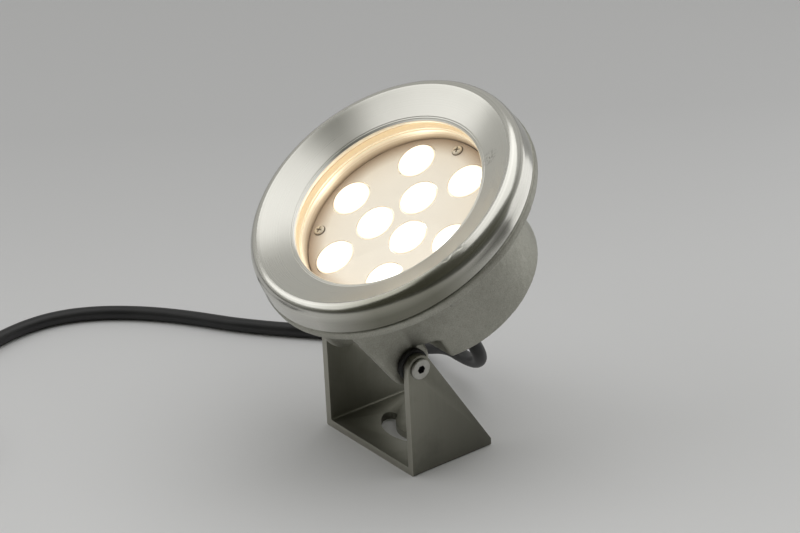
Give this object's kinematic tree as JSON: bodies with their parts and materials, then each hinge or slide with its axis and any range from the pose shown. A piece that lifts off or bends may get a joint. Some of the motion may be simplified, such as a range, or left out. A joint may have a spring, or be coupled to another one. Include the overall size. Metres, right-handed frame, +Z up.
{
  "type": "underwater pond light",
  "caption": "Round stainless steel underwater spotlight with warm white LEDs behind a round window, tilting on a U bracket with a slotted base, with its rubber lead.",
  "frame": {"origin": "on the underside of the bracket's base, straight below the tilt axis, halfway between the ears", "axes": "+Z up, +X along the tilt axis towards the ear with the slot's right end, the lamp shines towards -Y and up"},
  "size_m": [0.3096, 0.3553, 0.1786],
  "materials": {
    "bracket_steel": "brushed plate, dull",
    "bezel_steel": "satin, turned round the axis",
    "housing_steel": "blasted casting, matte",
    "fastener_steel": "satin",
    "black_rubber": "matte",
    "gasket_rubber": "matte silicone",
    "window_glass": "clear toughened",
    "plate_white": "satin white",
    "lens_clear": "clear moulded, glossy",
    "led_phosphor": "lit, warm white",
    "board_white": "white solder mask",
    "spreader_aluminium": "milled",
    "driver_green": "solder mask",
    "potting_resin": "cast resin",
    "lead_sheath": "satin rubber sheath",
    "tie_nylon": "nylon",
    "core_brown": "insulated core",
    "core_blue": "insulated core"
  },
  "bodies": {
    "stand": {"bracket": "bracket_steel", "lead_floor_run": "lead_sheath", "lead_coil": "lead_sheath", "lead_tail": "lead_sheath", "coil_tie": "tie_nylon", "core_wire_brown": "core_brown", "core_wire_blue": "core_blue"},
    "lamp_head": {"pivot_bolt_right": "fastener_steel", "pivot_washer_right": "black_rubber", "pivot_bolt_left": "fastener_steel", "pivot_washer_left": "black_rubber", "bezel": "bezel_steel", "housing": "housing_steel", "window_glass": "window_glass", "front_gasket": "gasket_rubber", "rear_gasket": "gasket_rubber", "led_plate": "plate_white", "led_board": "board_white", "heat_spreader": "spreader_aluminium", "driver_board": "driver_green", "potting": "potting_resin", "lens_1": "lens_clear", "lens_2": "lens_clear", "lens_3": "lens_clear", "lens_4": "lens_clear", "lens_5": "lens_clear", "lens_6": "lens_clear", "lens_7": "lens_clear", "lens_8": "lens_clear", "lens_9": "lens_clear", "led_1": "led_phosphor", "led_2": "led_phosphor", "led_3": "led_phosphor", "led_4": "led_phosphor", "led_5": "led_phosphor", "led_6": "led_phosphor", "led_7": "led_phosphor", "led_8": "led_phosphor", "led_9": "led_phosphor", "plate_screw_1": "fastener_steel", "plate_screw_2": "fastener_steel", "plate_screw_3": "fastener_steel", "bezel_screw_1": "fastener_steel", "bezel_screw_2": "fastener_steel", "bezel_screw_3": "fastener_steel", "bezel_screw_4": "fastener_steel", "bezel_screw_5": "fastener_steel", "bezel_screw_6": "fastener_steel", "gland_body": "fastener_steel", "gland_nut": "fastener_steel", "gland_seal": "black_rubber", "strain_relief": "black_rubber", "inner_lead": "lead_sheath", "lead_outlet_bend": "lead_sheath"}
  },
  "joints": [
    {"name": "head_tilt", "type": "hinge", "parent": "stand", "child": "lamp_head", "pos_m": [0, 0, 0.06], "axis": [1, 0, 0], "range_deg": [-15, 80]}
  ]
}
